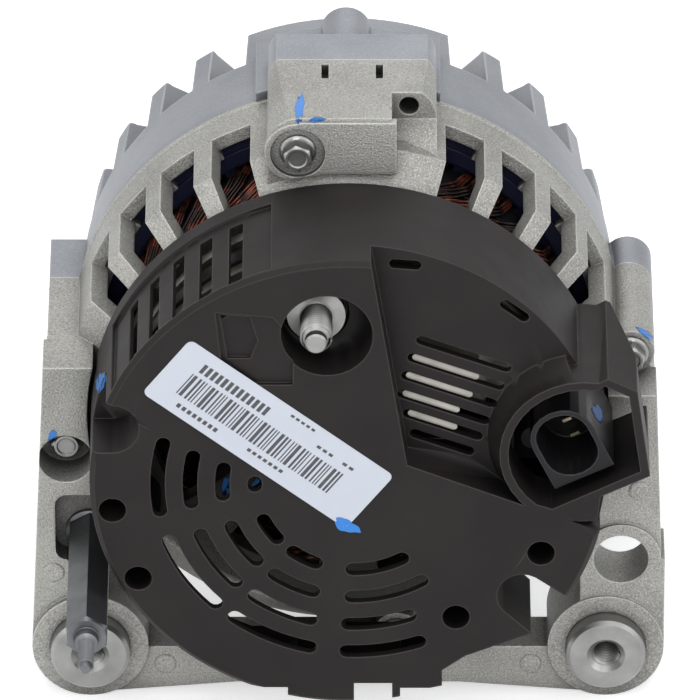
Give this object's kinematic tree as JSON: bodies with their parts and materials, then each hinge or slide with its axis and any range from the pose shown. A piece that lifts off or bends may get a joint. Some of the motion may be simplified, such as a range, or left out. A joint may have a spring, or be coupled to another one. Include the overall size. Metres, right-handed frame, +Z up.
{
  "type": "engine alternator",
  "caption": "Engine alternator with cast aluminium brackets, a slotted dark plastic rear cover, an output stud, a connector socket and a grooved pulley.",
  "frame": {"origin": "on the ground under the middle of the alternator, as it stands on its four ears", "axes": "+Y along the shaft to the pulley, -Y to the rear cover, +Z up through the shaft from the ears, +X to the right seen from the rear cover"},
  "size_m": [0.1588, 0.2014, 0.1607],
  "materials": {
    "rear_casting": "rough cast, blasted",
    "front_casting": "smooth cast",
    "cover_plastic": "fine matt grain",
    "black_plastic": "smooth",
    "steel": "plated",
    "lamination": "varnished sheet edges",
    "copper": "enamelled wire",
    "blue_insulation": "satin",
    "bobbin_plastic": "satin",
    "pole_iron": "machined",
    "carbon": "pressed carbon",
    "sink_aluminium": "extruded",
    "pulley_steel": "black coating",
    "pin_metal": "plated"
  },
  "bodies": {
    "housing": {"rear_bracket": "rear_casting", "front_bracket": "front_casting", "rear_cover": "cover_plastic", "through_bolts": "steel", "cover_screws": "steel", "spacer_stud": "steel", "stator_core": "lamination", "stator_winding": "copper", "end_insulators": "blue_insulation", "front_bearing_outer": "steel", "rear_bearing_outer": "steel", "bearing_retainer": "steel", "retainer_screws": "steel", "brush_holder": "black_plastic", "inner_brush_spring": "steel", "outer_brush_spring": "steel", "regulator": "black_plastic", "connector_pins": "pin_metal", "regulator_screws": "steel", "negative_heat_sink": "sink_aluminium", "negative_diodes": "steel", "terminal_carrier": "black_plastic", "positive_heat_sink": "sink_aluminium", "positive_diodes": "steel", "rectifier_screws": "steel", "stud_insulator": "black_plastic", "output_stud": "steel"},
    "rotor": {"shaft": "steel", "rear_pole": "pole_iron", "front_pole": "pole_iron", "field_bobbin": "bobbin_plastic", "field_coil": "copper", "rear_fan": "steel", "front_fan": "steel", "front_bearing_inner": "steel", "rear_bearing_inner": "steel", "pulley_spacer": "steel", "pulley": "pulley_steel", "pulley_nut": "steel", "slip_ring_carrier": "black_plastic", "inner_slip_ring": "copper", "outer_slip_ring": "copper"},
    "front_cage": {"front_bearing_balls": "steel"},
    "rear_cage": {"rear_bearing_balls": "steel"},
    "left_sliding_bush": {"left_bush": "steel"},
    "right_sliding_bush": {"right_bush": "steel"},
    "inner_sliding_brush": {"inner_brush": "carbon"},
    "outer_sliding_brush": {"outer_brush": "carbon"}
  },
  "joints": [
    {"name": "rotor_spin", "type": "hinge", "parent": "housing", "child": "rotor", "pos_m": [0, 0, 0.0812], "axis": [0, 1, 0], "continuous": true},
    {"name": "front_cage_spin", "type": "hinge", "parent": "housing", "child": "front_cage", "pos_m": [0, 0, 0.0812], "axis": [0, 1, 0], "continuous": true},
    {"name": "rear_cage_spin", "type": "hinge", "parent": "housing", "child": "rear_cage", "pos_m": [0, 0, 0.0812], "axis": [0, 1, 0], "continuous": true},
    {"name": "left_bush_slide", "type": "slide", "parent": "housing", "child": "left_sliding_bush", "axis": [0, 1, 0], "range_m": [-0.001, 0.003]},
    {"name": "right_bush_slide", "type": "slide", "parent": "housing", "child": "right_sliding_bush", "axis": [0, 1, 0], "range_m": [-0.001, 0.003]},
    {"name": "inner_brush_slide", "type": "slide", "parent": "housing", "child": "inner_sliding_brush", "axis": [1, 0, 0], "range_m": [0, 0.004], "stiffness_N_per_m": 80, "springref_m": -0.02, "deforming": ["inner_brush_spring"]},
    {"name": "outer_brush_slide", "type": "slide", "parent": "housing", "child": "outer_sliding_brush", "axis": [1, 0, 0], "range_m": [0, 0.004], "stiffness_N_per_m": 80, "springref_m": -0.02, "deforming": ["outer_brush_spring"]}
  ],
  "couplings": [
    {"joint": "front_cage_spin", "follows": "rotor_spin", "ratio": 0.364},
    {"joint": "rear_cage_spin", "follows": "rotor_spin", "ratio": 0.384}
  ]
}
